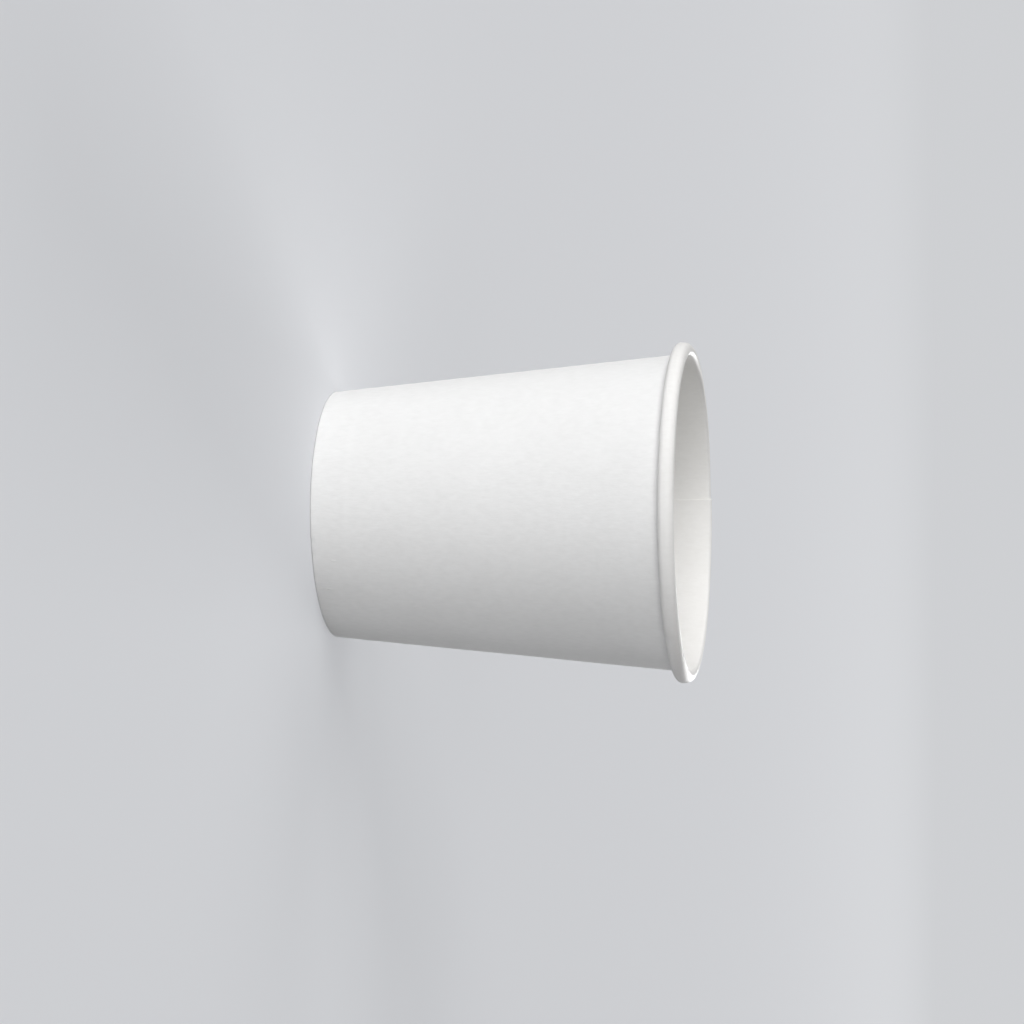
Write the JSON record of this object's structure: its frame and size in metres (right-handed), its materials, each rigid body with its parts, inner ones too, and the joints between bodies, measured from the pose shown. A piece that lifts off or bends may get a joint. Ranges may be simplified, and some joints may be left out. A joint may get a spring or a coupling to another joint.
{
  "type": "paper coffee cup",
  "caption": "Small tapered paper cup with a rolled rim, a lapped side seam and a recessed bottom held by the folded lower edge.",
  "frame": {"origin": "on the cup's axis, in the plane of the folded bottom edge that it stands on", "axes": "+Z along the axis towards the mouth; the lapped side seam is on the -X side"},
  "size_m": [0.062, 0.062, 0.0663],
  "materials": {
    "cup_board": "plain white uncoated board outside, thin satin film inside",
    "bottom_board": "white board with a thin satin film"
  },
  "bodies": {
    "root": {"side_wall": "cup_board", "bottom_disc": "bottom_board"}
  },
  "joints": []
}
